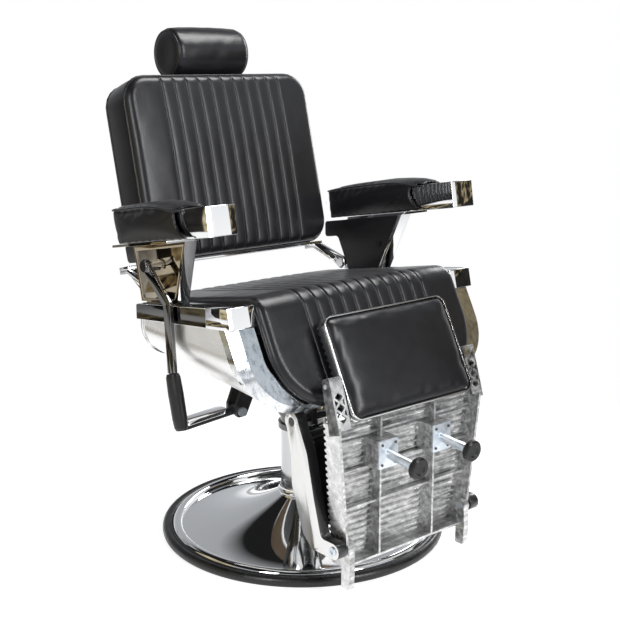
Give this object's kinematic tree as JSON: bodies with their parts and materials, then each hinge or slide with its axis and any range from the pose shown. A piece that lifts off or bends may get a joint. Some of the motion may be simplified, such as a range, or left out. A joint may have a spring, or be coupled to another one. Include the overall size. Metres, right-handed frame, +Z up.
{
  "type": "barber chair",
  "caption": "Reclining hydraulic barber chair with round pump base, channelled black cushions, chrome tub seat, roll headrest and fold-down ribbed footplate",
  "frame": {"origin": "centre of the base's underside, on the floor", "axes": "+Z up; the chair faces -Y; +X is the sitter's left, so both levers are on -X"},
  "size_m": [0.756, 0.8955, 1.1314],
  "materials": {
    "rubber": "matte black",
    "chrome": "mirror polished",
    "polished_dark_steel": "dark mirror",
    "black_steel": "satin black enamel",
    "cast_iron": "painted, hidden",
    "machined_steel": "ground",
    "bearing_brass": "turned",
    "leather": "charcoal black, soft sheen",
    "board": "raw plywood",
    "black_board": "black paint",
    "polished_aluminium": "polished",
    "cast_aluminium": "raw casting",
    "zinc": "blue-white zinc plate"
  },
  "bodies": {
    "base": {"base_plate": "cast_iron", "base_cover": "chrome", "base_rubber_rim": "rubber", "pump_cylinder": "machined_steel", "pump_sleeve": "chrome", "sleeve_foot_ring": "chrome"},
    "lift": {"pump_ram": "machined_steel", "pump_collar": "polished_dark_steel", "swivel_bearing": "bearing_brass"},
    "seat": {"seat_shell": "chrome", "shell_rear_trim": "chrome", "front_rim": "chrome", "rail_cap_left": "chrome", "rail_cap_right": "chrome", "arm_frame_left": "chrome", "arm_frame_right": "chrome", "arm_plate_left": "chrome", "arm_plate_right": "chrome", "arm_block_left": "chrome", "arm_block_right": "chrome", "recline_lever_bolt": "chrome", "recline_bolts": "chrome", "side_rail_left": "polished_dark_steel", "side_rail_right": "polished_dark_steel", "seat_mount": "black_steel", "pump_lever_bracket": "black_steel", "slide_rails": "black_steel", "seat_cushion": "leather", "arm_buttons": "leather", "arm_pad_left": "leather", "arm_pad_right": "leather", "arm_panel_left": "leather", "arm_panel_right": "leather", "seat_board": "board", "front_board": "black_board", "pump_lever_pin": "zinc"},
    "backrest": {"back_panel": "leather", "back_cushion": "leather", "back_crossbar": "chrome", "back_bracket_left": "chrome", "back_bracket_right": "chrome", "headrest_socket": "machined_steel"},
    "headrest": {"headrest_bar": "machined_steel", "headrest_pillow": "leather"},
    "recline_lever": {"recline_lever": "chrome", "recline_grip": "rubber"},
    "pump_lever": {"pump_lever": "black_steel", "pump_lever_pad": "chrome"},
    "carriage": {"legrest_carriage": "black_steel"},
    "legrest": {"legrest_arm_left": "polished_aluminium", "legrest_arm_right": "polished_aluminium", "legrest_cross_tube": "black_steel", "hinge_pins": "zinc"},
    "footplate": {"footplate": "cast_aluminium", "peg_mounts": "zinc", "peg_feet": "rubber", "peg_screws": "zinc"},
    "calf_rest": {"calf_frame": "polished_aluminium", "calf_pad": "leather", "calf_pins": "zinc"}
  },
  "joints": [
    {"name": "column_lift", "type": "slide", "parent": "base", "child": "lift", "axis": [0, 0, 1], "range_m": [0, 0.15]},
    {"name": "seat_swivel", "type": "hinge", "parent": "lift", "child": "seat", "pos_m": [0, 0, 0.29], "axis": [0, 0, 1], "continuous": true},
    {"name": "back_recline", "type": "hinge", "parent": "seat", "child": "backrest", "pos_m": [0, 0.188, 0.562], "axis": [-1, 0, 0], "range_deg": [0, 45]},
    {"name": "headrest_slide", "type": "slide", "parent": "backrest", "child": "headrest", "axis": [0, 0.2436, 0.9699], "range_m": [0, 0.1]},
    {"name": "recline_lever_pull", "type": "hinge", "parent": "seat", "child": "recline_lever", "pos_m": [-0.346, 0.088, 0.64], "axis": [1, 0, 0], "range_deg": [0, 16], "stiffness_Nm_per_rad": 3, "springref_deg": -20.05},
    {"name": "pump_lever_press", "type": "hinge", "parent": "seat", "child": "pump_lever", "pos_m": [-0.186, 0, 0.318], "axis": [0, 1, 0], "range_deg": [-12, 0], "stiffness_Nm_per_rad": 6, "springref_deg": 14.32},
    {"name": "legrest_slide", "type": "slide", "parent": "seat", "child": "carriage", "axis": [0, -0.9942, -0.108], "range_m": [0, 0.076]},
    {"name": "legrest_swing", "type": "hinge", "parent": "carriage", "child": "legrest", "pos_m": [0, -0.213, 0.349], "axis": [-1, 0, 0], "range_deg": [0, 22.2]},
    {"name": "footplate_fold", "type": "hinge", "parent": "legrest", "child": "footplate", "pos_m": [0, -0.3425, 0.114], "axis": [1, 0, 0], "range_deg": [0, 90]},
    {"name": "calf_tilt", "type": "hinge", "parent": "footplate", "child": "calf_rest", "pos_m": [0, -0.31882, 0.44712], "axis": [1, 0, 0], "range_deg": [-3, 14]}
  ],
  "couplings": [
    {"joint": "legrest_slide", "follows": "back_recline", "m_per_rad": 0.0955},
    {"joint": "legrest_swing", "follows": "back_recline", "ratio": 0.489}
  ]
}
